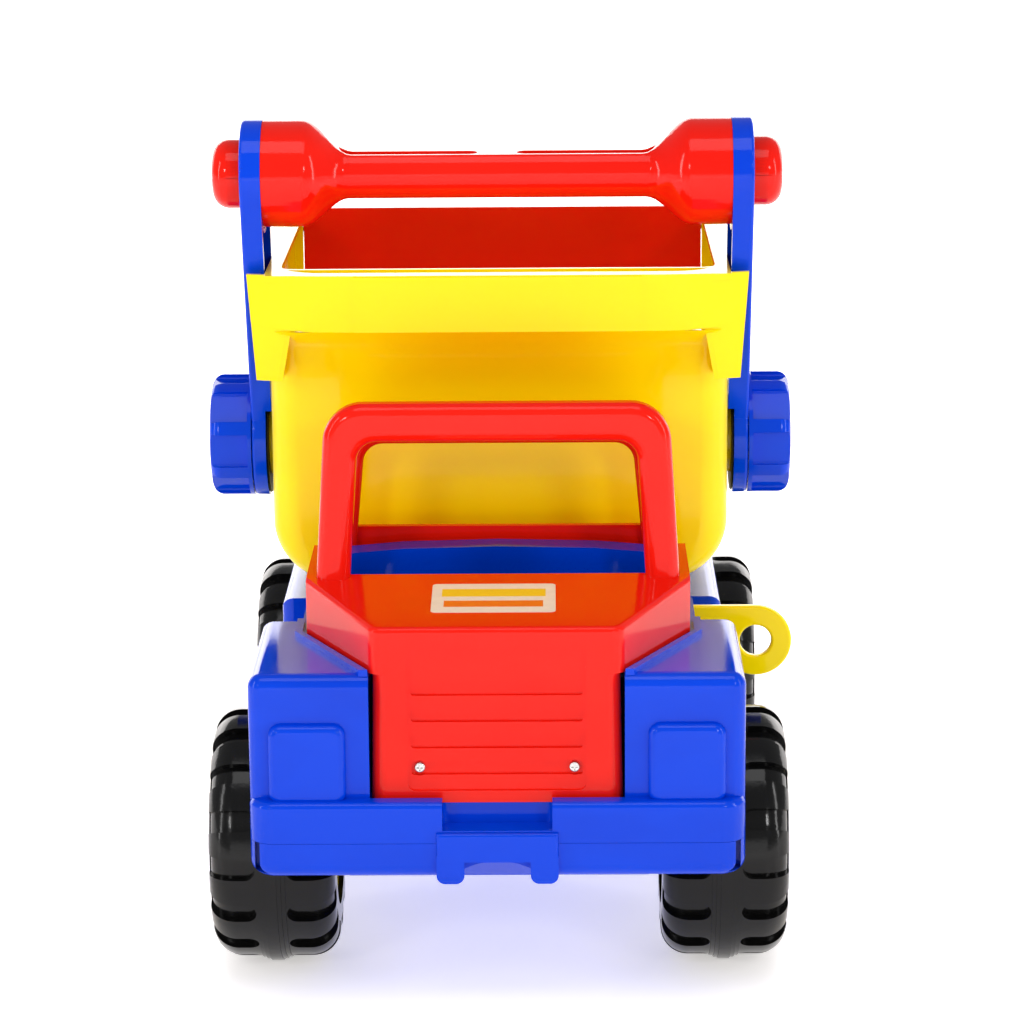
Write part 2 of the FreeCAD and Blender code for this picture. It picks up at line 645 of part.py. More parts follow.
def front_flare(inset):
    """The front wall's upper part, which curves forward to the band; corners stay rounded."""
    t = inset
    radius = FLARE_R + t
    centre = BUCKET_FRONT - FLARE_R
    wires = []
    steps = 8
    for i in range(steps + 1):
        z = FLARE_START + (BAND_BOTTOM - FLARE_START) * i / steps
        front = centre + math.sqrt(radius ** 2 - (z - FLARE_START) ** 2)
        wires.append(plan_wire(BUCKET_HALF - t, front, CORNER_R - t, z))
    curved = Part.makeLoft(wires, True, True)
    above = Part.Face(plan_wire(BUCKET_HALF - t, RIM_FRONT + BAND_THICK, CORNER_R - t, BAND_BOTTOM))
    return [curved, above.extrude(vec(0, 0, BUCKET_RIM - 4 - BAND_BOTTOM))]


def band_plate(extra, low, high):
    """The band across the front as seen from above, its ends bending back, between two heights."""
    start = 96.0
    face = []
    for x in [start + (EAR_HALF - start) * i / 6 for i in range(7)]:
        face.append((x, RIM_FRONT + extra + EAR_SWEEP * ((x - start) / (EAR_HALF - start)) ** 2))
    front = [(-x, y) for x, y in reversed(face)] + face
    back = [(x, y + BAND_THICK) for x, y in reversed(front)]
    return plan_prism(front + back, low, high)


def ear_edge(low_x, high_x, y0, y1):
    """Upright slab between two outlines that lean inwards from the ear's foot to the band."""
    return front_prism([(EAR_INNER_LOW + low_x, EAR_BOTTOM), (EAR_INNER_LOW + high_x, EAR_BOTTOM),
                        (EAR_INNER_HIGH + high_x, BAND_BOTTOM + 7), (EAR_INNER_HIGH + low_x, BAND_BOTTOM + 7)], y0, y1)


def band_ends():
    """What is cut from the band: its lower edge rises towards the ends, and the ends lean inwards."""
    y0 = RIM_FRONT - 5
    y1 = RIM_FRONT + 30
    rise = [(112, 0), (126, 0.9), (140, 3), (EAR_HALF + 1, 5.8)]
    under = [(x, BAND_BOTTOM + z) for x, z in rise] + [(EAR_HALF + 1, BAND_BOTTOM - 1), (112, BAND_BOTTOM - 1)]
    lean = [(EAR_HALF, BUCKET_RIM + 1), (EAR_HALF_LOW, EAR_BOTTOM - 1), (EAR_HALF + 9, EAR_BOTTOM - 1),
            (EAR_HALF + 9, BUCKET_RIM + 1)]
    return both(front_prism(under, y0, y1)), both(front_prism(lean, y0, y1))


def rim_frame():
    """The flat rim round the top, with the deep band and its hanging ears across the front."""
    ring = wide_box(BUCKET_HALF, RIM_FRONT + 2, BUCKET_REAR, BUCKET_RIM - 4, BUCKET_RIM)
    inner = RIM_FRONT + RIM_FRONT_WIDTH
    hole = wide_box(RIM_INNER_HALF, inner, BUCKET_REAR + 1, BUCKET_RIM - 10, BUCKET_RIM + 5)
    hole = soften(hole, 26, lambda m, run, e: abs(run.z) > 0.99 and m.y < inner + 1)
    under, lean = band_ends()
    band = band_plate(0, BAND_BOTTOM, BUCKET_RIM).cut(under + lean)
    raised = wide_box(87, RIM_FRONT - 1.2, RIM_FRONT + 1, BAND_BOTTOM, BUCKET_RIM - 0.8)
    ear_face = band_plate(0.8, EAR_BOTTOM, BAND_BOTTOM + 6.5).cut(lean)
    ears = [ear_face.common(slab) for slab in both(ear_edge(0, 40, RIM_FRONT - 5, RIM_FRONT + 30))]
    return [ring.cut(hole), band, raised] + ears


def hinge_barrels():
    """Knuckles under the bucket's rear edge, between the bed's lugs."""
    x0 = 49.5
    x1 = 65.5
    web = box(x0, x1, BUCKET_REAR - 25, HINGE_Y, HINGE_Z - 0.5, HINGE_Z + 6)
    barrel = rod_x(6.5, x0, x1, HINGE_Y, HINGE_Z).fuse(web)
    return both(barrel.cut(rod_x(HINGE_PIN_R + RUN, x0 - 1, x1 + 1, HINGE_Y, HINGE_Z)))


def gate_opening_frame():
    """Thicker side posts that carry the tailgate's pins and stop its edges."""
    post = box(RIM_INNER_HALF, BUCKET_HALF + 1.5, BUCKET_REAR - 16, BUCKET_REAR, BUCKET_BOTTOM + 45, BUCKET_RIM)
    return both(post)


def dump_bucket():
    outer = [bucket_form(0.0, BUCKET_REAR)] + front_flare(0.0) + both(ear_edge(0, 3, RIM_FRONT + 3, BUCKET_FRONT + 12))
    shell = outer[0].fuse(outer[1:]).cut([bucket_form(WALL, BUCKET_REAR + 5)] + front_flare(WALL))
    runners = both(box(74, 80, BUCKET_FRONT + 25, BUCKET_REAR - 4, BED_TOP + 0.4, BUCKET_BOTTOM + 2))
    bosses = both(rod_x(25, BUCKET_HALF - WALL, BUCKET_HALF + 3.2, PIVOT_Y, PIVOT_Z))
    latch_stem = box(36, 50, 118, 122, 172, BUCKET_BOTTOM + 2)
    latch_foot = box(36, 50, LATCH_Y - 1, 122, 172, 176)
    floor_panel = wide_box(92, 140, 300, BUCKET_BOTTOM + 1, BUCKET_BOTTOM + WALL + PANEL_RISE)
    details = rim_frame() + runners + bosses + hinge_barrels() + gate_opening_frame()
    body = shell.fuse(details + [latch_stem, latch_foot, floor_panel])
    bolt_holes = both(rod_x(BOLT_R, 120, 160, PIVOT_Y, PIVOT_Z))
    pin_holes = both(rod_x(GATE_PIN_R, 120, 150, GATE_PIN_Y, GATE_PIN_Z))
    return body.cut(bolt_holes + pin_holes).removeSplitter()


def tailgate():
    """Panel that hangs from two pins at the bucket's upper rear corners."""
    half = RIM_INNER_HALF - 0.4
    low = BUCKET_BOTTOM + WALL + 2
    plate = wide_box(half, GATE_PIN_Y - 7, GATE_PIN_Y - 3.4, low, BUCKET_RIM + 5)
    plate = soften(plate, BUCKET_CORNER - 4, lambda m, run, e: abs(run.y) > 0.99 and abs(m.z - low) < 0.1)
    ribs = [box(x - 1.5, x + 1.5, GATE_PIN_Y - 4, GATE_PIN_Y + 4, low + 22, GATE_PIN_Z - 20) for x in (-90, -30, 30, 90)]
    rails = [wide_box(half - 6, GATE_PIN_Y - 4, GATE_PIN_Y + 4, z, z + 3) for z in (low + 44, GATE_PIN_Z - 22)]
    barrels = both(rod_x(6, half - 22, half, GATE_PIN_Y, GATE_PIN_Z))
    body = plate.fuse(ribs + rails + barrels)
    return body.cut(both(rod_x(GATE_PIN_R + RUN, half - 18, half + 5, GATE_PIN_Y, GATE_PIN_Z))).removeSplitter()


def save_bucket():
    save("dump_bucket", dump_bucket())
    save("tailgate", tailgate())
    pin = rod_x(GATE_PIN_R, RIM_INNER_HALF - 16, BUCKET_HALF + 1, GATE_PIN_Y, GATE_PIN_Z)
    save("tailgate_pins", group(both(pin)))
    save("bucket_hinge_pin", rod_x(HINGE_PIN_R, -78, 78, HINGE_Y, HINGE_Z))


# ---- handle, knobs and latch ----
def pivot_bolts():
    shank = rod_x(BOLT_R, 134, 176, PIVOT_Y, PIVOT_Z)
    head = rod_x(9, 133.5, BUCKET_HALF - WALL, PIVOT_Y, PIVOT_Z)
    head = soften(head, 2.5, lambda m, run, e: abs(m.x - 133.5) < 0.1)
    return both(head.fuse(shank))


def pivot_washers():
    ring = rod_x(36.5, BUCKET_HALF + 3.2, ARM_INNER - CLEAR, PIVOT_Y, PIVOT_Z)
    return both(ring.cut(rod_x(BOLT_R, 120, 160, PIVOT_Y, PIVOT_Z)))


def arm_plan(shrink):
    """The arm's bar seen from the side, its long edges tangent to the rounded end."""
    run = vec(0, HANDLE_Y - PIVOT_Y, HANDLE_Z - PIVOT_Z)
    narrowing = (ARM_END_R - ARM_LOW_HALF) / run.Length
    along = vec(0, run.y, run.z)
    along.normalize()
    across = vec(0, along.z, -along.y)
    low = vec(0, PIVOT_Y, PIVOT_Z)
    high = vec(0, HANDLE_Y, HANDLE_Z)
    corners = []
    for side in (1, -1):
        out = across * (side * math.sqrt(1 - narrowing ** 2)) - along * narrowing
        pair = [low + out * (ARM_LOW_HALF - shrink), high + out * (ARM_END_R - shrink)]
        corners += pair if side > 0 else pair[::-1]
    return [(c.y, c.z) for c in corners]


def handle_arm():
    """A flat channel from the pivot disc to the grip's rounded end."""
    x0 = ARM_FLANGE_INNER
    x1 = ARM_INNER + ARM_THICK
    bar = side_prism(arm_plan(0), x0, x1)
    body = union([bar, rod_x(ARM_DISC_R, x0, x1, PIVOT_Y, PIVOT_Z), rod_x(ARM_END_R, x0, x1, HANDLE_Y, HANDLE_Z)])
    body = soften(body, 2, lambda m, run, e: abs(m.x - x1) < 0.1)
    inside = x1 - 3.5
    hollow = side_prism(arm_plan(5), x0 - 1, inside)
    discs = [rod_x(ARM_DISC_R + 4, x0 - 2, x1, PIVOT_Y, PIVOT_Z), rod_x(ARM_END_R + 3, x0 - 2, x1, HANDLE_Y, HANDLE_Z)]
    middle = (PIVOT_Y + HANDLE_Y) / 2
    height = (PIVOT_Z + HANDLE_Z) / 2
    web = side_prism([(middle - 40, height - 13), (middle + 40, height + 9), (middle + 40, height + 12),
                      (middle - 40, height - 10)], ARM_INNER, x1)
    step = rod_x(ARM_DISC_R + 5, x0 - 1, ARM_INNER, PIVOT_Y, PIVOT_Z)
    holes = [rod_x(BOLT_R + RUN, x0 - 5, x1 + 5, PIVOT_Y, PIVOT_Z), rod_x(8, x0 - 5, x1 + 5, HANDLE_Y, HANDLE_Z)]
    return body.cut(hollow.cut(discs + [web])).cut([step] + holes)


def grip_outline(inset):
    """Half of the moulded grip from its big end to the middle, as (x, radius) points."""
    end = ARM_FLANGE_INNER - 0.1 - inset
    big = GRIP_END_R - inset
    small = GRIP_R - inset
    drop = big - small
    points = [(end, 0.01), (end, big)]
    for i in range(11):
        share = i / 10
        points.append((118 - 28 * share, big - drop * (0.5 - 0.5 * math.cos(math.pi * share))))
    return points


def grip_scoop(drop):
    """The space over the grip's flat top, which sweeps up into the thick ends."""
    rise = GRIP_END_R + 0.5 - GRIP_FLAT
    points = []
    for i in range(11):
        share = i / 10
        points.append((118 - 30 * share, HANDLE_Z + GRIP_FLAT - drop + rise * (0.5 + 0.5 * math.cos(math.pi * share))))
    outline = points + [(-x, z) for x, z in reversed(points)]
    return front_prism(outline + [(-118, HANDLE_Z + 60), (118, HANDLE_Z + 60)], HANDLE_Y - 25, HANDLE_Y + 25)


def handle_grip():
    """Hollow grip with thick ends, a flat top and two long pockets in it."""
    def solid(inset):
        half = grip_outline(inset)
        outline = half + [(-x, r) for x, r in reversed(half)]
        return spin_x(outline, HANDLE_Y, HANDLE_Z)
    body = solid(0).cut(solid(2.8).cut(grip_scoop(6)))
    pockets = []
    for x in (12, -96):
        pockets.append(round_box(x, x + 84, HANDLE_Y - 7, HANDLE_Y + 7, HANDLE_Z + 8.8, HANDLE_Z + 30, 6, 2))
    socket = both(rod_x(8, 126, 150, HANDLE_Y, HANDLE_Z))
    return body.cut([grip_scoop(0)] + pockets + socket).removeSplitter()


def handle_cap():
    x0 = ARM_INNER + ARM_THICK
    outline = [(x0, 0.01), (x0, CAP_R), (x0 + 8, CAP_R)] + arc_points(x0 + 8, CAP_R - 10, 10, 85, 5, 5) + [(x0 + 18, 0.01)]
    dome = spin_x(outline, HANDLE_Y, HANDLE_Z)
    seam = box(x0 - 1, x0 + 30, HANDLE_Y - 40, HANDLE_Y + 40, HANDLE_Z - 0.35, HANDLE_Z + 0.35)
    seam = seam.cut(rod_x(CAP_R - 0.8, x0 - 2, x0 + 17.3, HANDLE_Y, HANDLE_Z))
    stem = rod_x(7.9, x0 - 24, x0 + 1, HANDLE_Y, HANDLE_Z)
    return dome.cut(seam).fuse(stem).removeSplitter()


def knob():
    x0 = ARM_INNER + ARM_THICK + CLEAR
    body = rod_x(KNOB_R, x0, KNOB_OUTER, PIVOT_Y, PIVOT_Z)
    body = soften(body, 7, lambda m, run, e: abs(m.x - KNOB_OUTER) < 0.1)
    cuts = [rod_x(BOLT_R + RUN, x0 - 5, 177, PIVOT_Y, PIVOT_Z)]
    for i in range(KNOB_FLUTES):
        flute = box(x0 + 2.5, KNOB_OUTER + 5, PIVOT_Y - 10.5, PIVOT_Y + 10.5, PIVOT_Z + KNOB_R - 4.6, PIVOT_Z + KNOB_R + 5)
        flute = soften(flute, 1.5, lambda m, run, e: abs(run.x) > 0.99 and m.z < PIVOT_Z + KNOB_R)
        flute.rotate(vec(0, PIVOT_Y, PIVOT_Z), vec(1, 0, 0), 360.0 * i / KNOB_FLUTES + 5)
        cuts.append(flute)
    face = rod_x(21, KNOB_OUTER - 2, KNOB_OUTER + 1, PIVOT_Y, PIVOT_Z)
    return body.cut(cuts + [face.cut(rod_x(14, KNOB_OUTER - 3, KNOB_OUTER + 2, PIVOT_Y, PIVOT_Z))])


def latch_pull():
    """Sliding bar that ends in a finger ring beside the truck."""
    y1 = LATCH_Y + LATCH_THICK
    bar = box(52, RING_X, LATCH_Y, y1, LATCH_LOW, LATCH_HIGH)
    ring = rod_y(RING_R, LATCH_Y, y1, RING_X, RING_Z)
    hole = rod_y(RING_HOLE_R, LATCH_Y - 1, y1 + 1, RING_X, RING_Z)
    body = bar.fuse(ring).cut(hole).removeSplitter()
    return soften(body, 1.6, lambda m, run, e: abs(run.y) < 0.5 and m.x > 125)


def save_handle():
    arm = handle_arm()
    cap = handle_cap()
    left_knob = knob()
    for side, place in (("left", lambda s: s), ("right", flip)):
        save("handle_arm_" + side, place(arm))
        save("handle_cap_" + side, place(cap))
        save("knob_" + side, place(left_knob))
    save("handle_grip", handle_grip())
    save("pivot_bolts", group(pivot_bolts()))
    save("pivot_washers", group(pivot_washers()))
    save("latch_pull", latch_pull())


os.makedirs("parts", exist_ok=True)
save_chassis()
save_cab()
save_bucket()
save_handle()
save_wheels()
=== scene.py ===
"""Looks of the toy dump truck: materials, label art, light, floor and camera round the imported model."""
import bpy
import json
import math
from mathutils import Matrix, Vector


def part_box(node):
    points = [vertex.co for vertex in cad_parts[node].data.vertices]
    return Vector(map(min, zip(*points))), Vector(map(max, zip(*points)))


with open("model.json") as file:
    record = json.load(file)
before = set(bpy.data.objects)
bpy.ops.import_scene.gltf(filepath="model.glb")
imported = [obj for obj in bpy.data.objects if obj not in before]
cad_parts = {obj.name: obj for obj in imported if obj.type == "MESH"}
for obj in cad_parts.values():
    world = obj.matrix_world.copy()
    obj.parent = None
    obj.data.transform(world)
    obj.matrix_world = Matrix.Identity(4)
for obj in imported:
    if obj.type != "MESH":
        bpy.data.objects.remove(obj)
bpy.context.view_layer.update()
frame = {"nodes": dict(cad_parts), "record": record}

# ---- colours, linear ----
BLUE = (0.000, 0.048, 0.62)
BLUE_DEEP = (0.000, 0.040, 0.55)          # the deep shades lie in the plastic's flow marks
RED = (0.80, 0.010, 0.003)
RED_DEEP = (0.74, 0.007, 0.002)
YELLOW = (0.97, 0.74, 0.001)
YELLOW_DEEP = (0.96, 0.71, 0.001)
BLACK = (0.0040, 0.0039, 0.0038)
SCUFF_GREY = (0.06, 0.06, 0.06)
STEEL = (0.72, 0.71, 0.69)
CREAM = (0.88, 0.82, 0.66)
BAR_YELLOW = (0.90, 0.62, 0.02)
BAR_RED = (0.86, 0.16, 0.01)
PAPER_LOW = (0.90, 0.87, 0.88)
PAPER_HIGH = (0.92, 0.89, 0.90)
PAPER_GLOW = (1.0, 0.975, 0.95)
ROOM_TINT = (0.97, 0.98, 1.0)

# ---- surface qualities ----
PLASTIC_GLOSS = 0.06                      # roughness of the clean, shiny areas
TYRE_GLOSS = 0.14
WASHER_GLOSS = 0.42
PLASTIC_SPECULAR = 0.22
BLACK_SPECULAR = 0.25
PAPER_SPECULAR = 0.3
PAPER_ROUGH = 0.5

# ---- label: two plain bars, in shares of the half height and half width of its box ----
UPPER_BAR = {"middle": 0.36, "half_height": 0.27, "half_width": 0.84}
LOWER_BAR = {"middle": -0.42, "half_height": 0.22, "half_width": 0.80}

# ---- edge rounding and shading of the CAD nodes ----
SOFT_EDGE = 0.0006
SOFT_EDGE_STEPS = 2
EDGE_ANGLE = math.radians(34)
FLAT_ANGLE = math.radians(0.2)            # faces closer than this count as one flat face
WELD_GAP = 0.00001
NORMAL_WEIGHT = 80
NO_ROUNDING = ("tyre_front_left", "tyre_front_right", "tyre_rear_left", "tyre_rear_right", "hood_label")

# ---- studio, in metres and watts ----
FLOOR_HALF = 6.0                          # half width of the paper, and its reach in front
SWEEP_START = 3.2                         # where the paper turns up behind the truck
SWEEP_R = 0.8
SWEEP_TOP = 2.4
SWEEP_STEPS = 12

ROOM_GLOW = 0.42                          # glow strength of the room, the paper and the sweep
NEAR_GLOW = 0.5
FAR_GLOW = 1.0
SWEEP_GLOW = 2.7
GLOW_START = 0.35                         # the paper brightens between these distances from the truck
GLOW_FULL = 1.1
SWEEP_FULL_HEIGHT = 0.6

LIGHT_AIM = Vector((0.0, 0.0, 0.2))
LIGHTS = (                                # name, place, width and height, power
    ("key_left", (-1.3, -2.6, 1.3), (0.35, 0.35), 10),
    ("key_right", (1.3, -2.6, 1.3), (0.35, 0.35), 10),
    ("fill_low", (0.0, -3.2, 0.25), (2.4, 0.4), 4),
    ("top_soft", (0.0, -0.9, 2.3), (1.6, 1.0), 13),
    ("side_left", (-1.9, -0.9, 0.9), (0.22, 1.6), 11),
    ("side_right", (1.9, -0.9, 0.9), (0.22, 1.6), 11),
)

# ---- camera ----
CAMERA_AT = Vector((0.0326, -2.2592, 0.7756))
CAMERA_YAW = 0.0116
CAMERA_PITCH = math.radians(13.5)
CAMERA_ROLL = 0.0079
FOCAL_PX = 3653.0
IMAGE_WIDTH = 1023.0
SENSOR = 36.0
FAR_CLIP = 50.0


# ---- node helpers ----
class Mat:
    """A material's node tree, with short calls for the nodes it is built from."""

    def __init__(self, name):
        self.mat = bpy.data.materials.new(name)
        self.mat.use_nodes = True
        self.tree = self.mat.node_tree
        self.tree.nodes.clear()
        self.out = self.add("ShaderNodeOutputMaterial")
        self.shader = self.add("ShaderNodeBsdfPrincipled")
        self.link(self.shader.outputs[0], self.out.inputs["Surface"])
        self.place = self.add("ShaderNodeTexCoord").outputs["Object"]

    def add(self, kind, **settings):
        node = self.tree.nodes.new(kind)
        for key, value in settings.items():
            setattr(node, key, value)
        return node

    def link(self, source, target):
        self.tree.links.new(source, target)

    def feed(self, socket, value):
        """Give a socket a colour, a number or the output of another node."""
        if isinstance(value, tuple):
            socket.default_value = (*value, 1.0)
        elif isinstance(value, (int, float)):
            socket.default_value = value
        else:
            self.link(value, socket)

    def noise(self, scale, detail=3.0, rough=0.5, stretch=(1, 1, 1)):
        """Noise in the object's own space, squeezed along each axis by stretch."""
        mapping = self.add("ShaderNodeMapping")
        mapping.inputs["Scale"].default_value = stretch
        self.link(self.place, mapping.inputs["Vector"])
        node = self.add("ShaderNodeTexNoise")
        node.inputs["Scale"].default_value = scale
        node.inputs["Detail"].default_value = detail
        node.inputs["Roughness"].default_value = rough
        self.link(mapping.outputs[0], node.inputs["Vector"])
        return node.outputs["Fac"]

    def ramp(self, value, stops):
        """Colour ramp through the stops, each a position and a colour."""
        node = self.add("ShaderNodeValToRGB")
        points = node.color_ramp.elements
        while len(points) < len(stops):
            points.new(0.5)
        for point, (position, colour) in zip(points, stops):
            point.position = position
            point.color = (*colour, 1.0)
        self.link(value, node.inputs["Fac"])
        return node.outputs["Color"]

    def span(self, value, source, target):
        """Carry a value from its source range over to a target range, held at the ends."""
        node = self.add("ShaderNodeMapRange")
        node.inputs["From Min"].default_value, node.inputs["From Max"].default_value = source
        node.inputs["To Min"].default_value, node.inputs["To Max"].default_value = target
        self.link(value, node.inputs["Value"])
        return node.outputs["Result"]

    def calculate(self, kind, first, second=0.0):
        """One arithmetic step on numbers or node outputs."""
        node = self.add("ShaderNodeMath", operation=kind)
        self.feed(node.inputs[0], first)
        self.feed(node.inputs[1], second)
        return node.outputs[0]

    def mix(self, share, colour_a, colour_b):
        """Blend from colour a to colour b by a share of 0 to 1."""
        node = self.add("ShaderNodeMix", data_type="RGBA")
        self.feed(node.inputs["Factor"], share)
        self.feed(node.inputs["A"], colour_a)
        self.feed(node.inputs["B"], colour_b)
        return node.outputs["Result"]

    def bump(self, height, depth, strength, below=None):
        """Surface relief of a given depth in metres, laid over the relief below it."""
        node = self.add("ShaderNodeBump")
        node.inputs["Distance"].default_value = depth
        node.inputs["Strength"].default_value = strength
        self.link(height, node.inputs["Height"])
        if below is not None:
            self.link(below, node.inputs["Normal"])
        return node.outputs[0]

    def axes(self):
        """The three coordinates of the object's own space."""
        split = self.add("ShaderNodeSeparateXYZ")
        self.link(self.place, split.inputs[0])
        return split.outputs["X"], split.outputs["Y"], split.outputs["Z"]

    def finish(self, colour, roughness, normal=None, **sockets):
        """Connect the shader and set any further sockets by name, with _ for a space."""
        self.feed(self.shader.inputs["Base Color"], colour)
        self.feed(self.shader.inputs["Roughness"], roughness)
        if normal is not None:
            self.link(normal, self.shader.inputs["Normal"])
        for name, value in sockets.items():
            self.feed(self.shader.inputs[name.replace("_", " ")], value)
        return self.mat


def shade(colour, factor):
    """The same colour, lighter or darker by a factor."""
    return tuple(factor * c for c in colour)


# ---- materials ----
def moulded_plastic(name, colour, deep):
    """Glossy injection-moulded plastic: faint flow marks, soft waviness, hairline scratches, dust specks."""
    m = Mat(name)
    flow = m.noise(7.0, detail=4.0, rough=0.55, stretch=(1.0, 0.6, 2.2))
    base = m.ramp(flow, [(0.30, deep), (0.55, colour), (0.80, colour)])
    speck = m.noise(900.0, detail=2.0, rough=0.6)
    pale = tuple(min(1.0, c * 1.3 + 0.03) for c in colour)
    base = m.mix(m.span(speck, (0.68, 0.82), (0.0, 0.12)), base, pale)
    smudge = m.noise(14.0, detail=5.0, rough=0.6)
    scratch = m.noise(240.0, detail=2.0, rough=0.7, stretch=(1.0, 6.0, 0.12))
    smudged = m.span(smudge, (0.35, 0.75), (PLASTIC_GLOSS, PLASTIC_GLOSS + 0.08))
    rough = m.calculate("ADD", smudged, m.span(scratch, (0.68, 0.80), (0.0, 0.10)))
    wave = m.bump(m.noise(11.0, detail=2.0, rough=0.4), depth=0.0006, strength=0.30)
    peel = m.bump(m.noise(330.0, detail=2.0), depth=0.00005, strength=0.25, below=wave)
    lines = m.bump(scratch, depth=0.00003, strength=0.25, below=peel)
    return m.finish(base, rough, lines, IOR=1.47, Specular_IOR_Level=PLASTIC_SPECULAR)


def black_plastic(name, gloss):
    """Black plastic with a fine pebble, faint pale scuffs and a little dust."""
    m = Mat(name)
    dust = m.noise(22.0, detail=6.0, rough=0.65)
    base = m.ramp(dust, [(0.35, shade(BLACK, 0.8)), (0.62, BLACK), (0.86, shade(BLACK, 1.8))])
    scuff = m.noise(120.0, rough=0.7, stretch=(0.3, 3.0, 3.0))
    base = m.mix(m.span(scuff, (0.72, 0.86), (0.0, 0.12)), base, SCUFF_GREY)
    rough = m.span(dust, (0.30, 0.80), (gloss - 0.04, gloss + 0.10))
    pebble = m.bump(m.noise(620.0, rough=0.6), depth=0.00010, strength=0.35)
    wave = m.bump(m.noise(30.0), depth=0.0012, strength=0.35, below=pebble)
    return m.finish(base, rough, wave, IOR=1.5, Specular_IOR_Level=BLACK_SPECULAR)


def plated_steel(name):
    """Bright plated steel with fine turned lines."""
    m = Mat(name)
    grain = m.noise(900.0, detail=2.0, rough=0.6, stretch=(1.0, 0.2, 1.0))
    base = m.ramp(grain, [(0.3, shade(STEEL, 0.75)), (0.7, STEEL)])
    rough = m.span(m.noise(160.0), (0.3, 0.7), (0.18, 0.34))
    return m.finish(base, rough, m.bump(grain, depth=0.00003, strength=0.4), Metallic=1.0)


def label_bar(m, across, up, middle, half_height, half_width):
    """1 inside a bar on the label and 0 outside it."""
    off_middle = m.calculate("ABSOLUTE", m.calculate("SUBTRACT", up, middle))
    inside_height = m.calculate("LESS_THAN", off_middle, half_height)
    inside_width = m.calculate("LESS_THAN", m.calculate("ABSOLUTE", across), half_width)
    return m.calculate("MULTIPLY", inside_height, inside_width)


def label_film(name, node):
    """Blank cream sticker with two plain bars, laid out from the label's own box."""
    low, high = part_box(node)
    m = Mat(name)
    x, y, _ = m.axes()
    across = m.span(x, (low.x, high.x), (-1.0, 1.0))
    up = m.span(y, (low.y, high.y), (-1.0, 1.0))
    paper = m.ramp(m.noise(160.0, detail=4.0), [(0.3, shade(CREAM, 0.93)), (0.7, CREAM)])
    base = m.mix(label_bar(m, across, up, **UPPER_BAR), paper, BAR_YELLOW)
    base = m.mix(label_bar(m, across, up, **LOWER_BAR), base, BAR_RED)
    rough = m.span(m.noise(60.0), (0.3, 0.7), (0.30, 0.42))
    grain = m.bump(m.noise(700.0), depth=0.00002, strength=0.3)
    return m.finish(base, rough, grain, Coat_Weight=0.3, Coat_Roughness=0.15)


def floor_paper(name):
    """White studio paper that glows: softly round the truck, brightly far away and up the sweep."""
    m = Mat(name)
    base = m.ramp(m.noise(3.0), [(0.3, PAPER_LOW), (0.7, PAPER_HIGH)])
    x, y, z = m.axes()
    distance_squared = m.calculate("ADD", m.calculate("MULTIPLY", x, x), m.calculate("MULTIPLY", y, y))
    distance = m.calculate("SQRT", distance_squared)
    floor_glow = m.span(distance, (GLOW_START, GLOW_FULL), (NEAR_GLOW, FAR_GLOW))
    sweep_glow = m.span(z, (0.0, SWEEP_FULL_HEIGHT), (0.0, SWEEP_GLOW - FAR_GLOW))
    m.link(m.calculate("ADD", floor_glow, sweep_glow), m.shader.inputs["Emission Strength"])
    return m.finish(base, PAPER_ROUGH, Specular_IOR_Level=PAPER_SPECULAR, Emission_Color=PAPER_GLOW)


steel = plated_steel("plated_steel")
MATERIALS = {                             # one for each material slot of the record
    "blue_plastic": moulded_plastic("blue_plastic", BLUE, BLUE_DEEP),
    "red_plastic": moulded_plastic("red_plastic", RED, RED_DEEP),
    "yellow_plastic": moulded_plastic("yellow_plastic", YELLOW, YELLOW_DEEP),
    "tyre_plastic": black_plastic("tyre_plastic", TYRE_GLOSS),
    "black_plastic": black_plastic("black_plastic", WASHER_GLOSS),
    "screw_steel": steel,
    "axle_steel": steel,
    "label_film": label_film("label_film", "hood_label"),
}


# ---- CAD nodes: material, small edge rounding and smooth shading ----
def soften_edges(obj):
    """Join the triangles of each flat face, then round the real edges a little."""
    flat = obj.modifiers.new("flat_faces", "DECIMATE")
    flat.decimate_type = "DISSOLVE"
    flat.angle_limit = FLAT_ANGLE
    edge = obj.modifiers.new("soft_edges", "BEVEL")
    edge.width = SOFT_EDGE
    edge.segments = SOFT_EDGE_STEPS
    edge.limit_method = "ANGLE"
    edge.angle_limit = EDGE_ANGLE
    edge.use_clamp_overlap = True


def dress_node(obj, material):
    """The node's material, slightly rounded edges, and normals smooth up to a real edge."""
    obj.data.materials.clear()
    obj.data.materials.append(material)
    obj.data.shade_smooth()
    weld = obj.modifiers.new("weld", "WELD")
    weld.merge_threshold = WELD_GAP
    if obj.name not in NO_ROUNDING:
        soften_edges(obj)
    split = obj.modifiers.new("sharp", "EDGE_SPLIT")
    split.split_angle = EDGE_ANGLE
    split.use_edge_sharp = False
    even = obj.modifiers.new("even_normals", "WEIGHTED_NORMAL")
    even.keep_sharp = True
    even.weight = NORMAL_WEIGHT


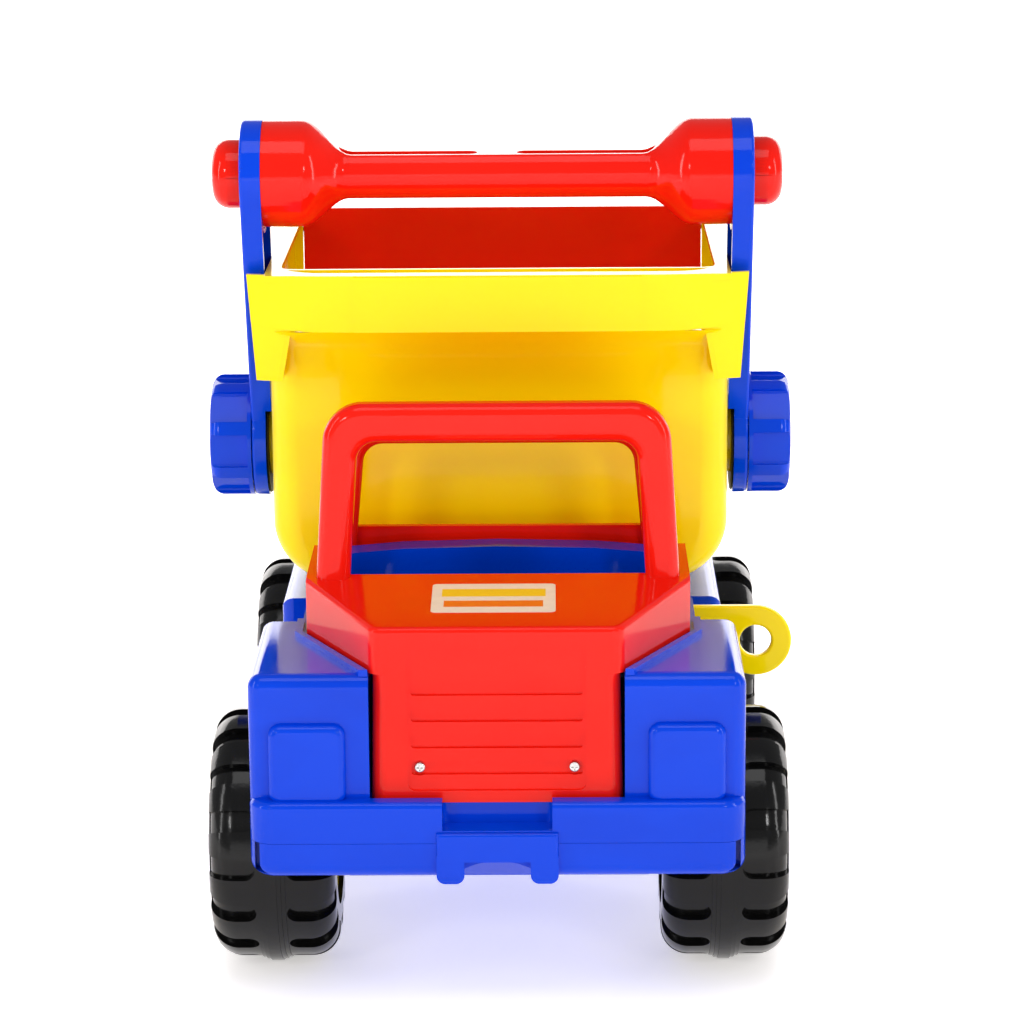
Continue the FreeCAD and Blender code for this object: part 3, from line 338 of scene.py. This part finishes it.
# ---- studio: floor, light and camera ----
def stage_floor():
    """One sheet of pale paper that runs back and sweeps up behind the truck."""
    profile = [(-FLOOR_HALF, 0.0), (SWEEP_START, 0.0)]
    for i in range(1, SWEEP_STEPS + 1):
        turn = math.radians(90 * i / SWEEP_STEPS)
        profile.append((SWEEP_START + SWEEP_R * math.sin(turn), SWEEP_R - SWEEP_R * math.cos(turn)))
    profile.append((SWEEP_START + SWEEP_R, SWEEP_TOP))
    verts = []
    for x in (-FLOOR_HALF, FLOOR_HALF):
        verts += [(x, y, z) for y, z in profile]
    count = len(profile)
    faces = [(i, i + 1, count + i + 1, count + i) for i in range(count - 1)]
    mesh = bpy.data.meshes.new("studio_floor")
    mesh.from_pydata(verts, [], faces)
    mesh.shade_smooth()
    mesh.materials.append(floor_paper("studio_paper"))
    floor = bpy.data.objects.new("studio_floor", mesh)
    bpy.context.scene.collection.objects.link(floor)


def area_light(name, at, size, power):
    """A rectangular white light that looks at the truck."""
    data = bpy.data.lights.new(name, "AREA")
    data.shape = "RECTANGLE"
    data.size, data.size_y = size
    data.energy = power
    obj = bpy.data.objects.new(name, data)
    obj.location = at
    obj.rotation_euler = (LIGHT_AIM - Vector(at)).to_track_quat("-Z", "Y").to_euler()
    bpy.context.scene.collection.objects.link(obj)


def studio_light():
    """Dim even room, two crisp keys, a low fill in front, a soft box above and one on each side."""
    world = bpy.data.worlds.new("studio_world")
    world.use_nodes = True
    background = world.node_tree.nodes["Background"]
    background.inputs["Color"].default_value = (*ROOM_TINT, 1.0)
    background.inputs["Strength"].default_value = ROOM_GLOW
    bpy.context.scene.world = world
    for name, at, size, power in LIGHTS:
        area_light(name, at, size, power)


def place_camera():
    """Camera from its own right, up and forward directions, with a lens given in pixels."""
    sin_yaw, cos_yaw = math.sin(CAMERA_YAW), math.cos(CAMERA_YAW)
    sin_pitch, cos_pitch = math.sin(CAMERA_PITCH), math.cos(CAMERA_PITCH)
    sin_roll, cos_roll = math.sin(CAMERA_ROLL), math.cos(CAMERA_ROLL)
    forward = Vector((-sin_yaw * cos_pitch, cos_yaw * cos_pitch, -sin_pitch))
    level_right = Vector((cos_yaw, sin_yaw, 0.0))
    level_up = level_right.cross(forward)
    right = cos_roll * level_right - sin_roll * level_up
    up = sin_roll * level_right + cos_roll * level_up
    data = bpy.data.cameras.new("photo_camera")
    data.sensor_fit = "HORIZONTAL"
    data.sensor_width = SENSOR
    data.lens = FOCAL_PX * SENSOR / IMAGE_WIDTH
    data.clip_end = FAR_CLIP
    camera = bpy.data.objects.new("photo_camera", data)
    turn = Matrix((right, up, -forward)).transposed().to_4x4()
    camera.matrix_world = Matrix.Translation(CAMERA_AT) @ turn
    bpy.context.scene.collection.objects.link(camera)
    bpy.context.scene.camera = camera


for part in frame["record"]["subparts"]:
    dress_node(frame["nodes"][part["node"]], MATERIALS[part["material_slot"]])
stage_floor()
studio_light()
place_camera()
bpy.context.scene.view_settings.view_transform = "Standard"
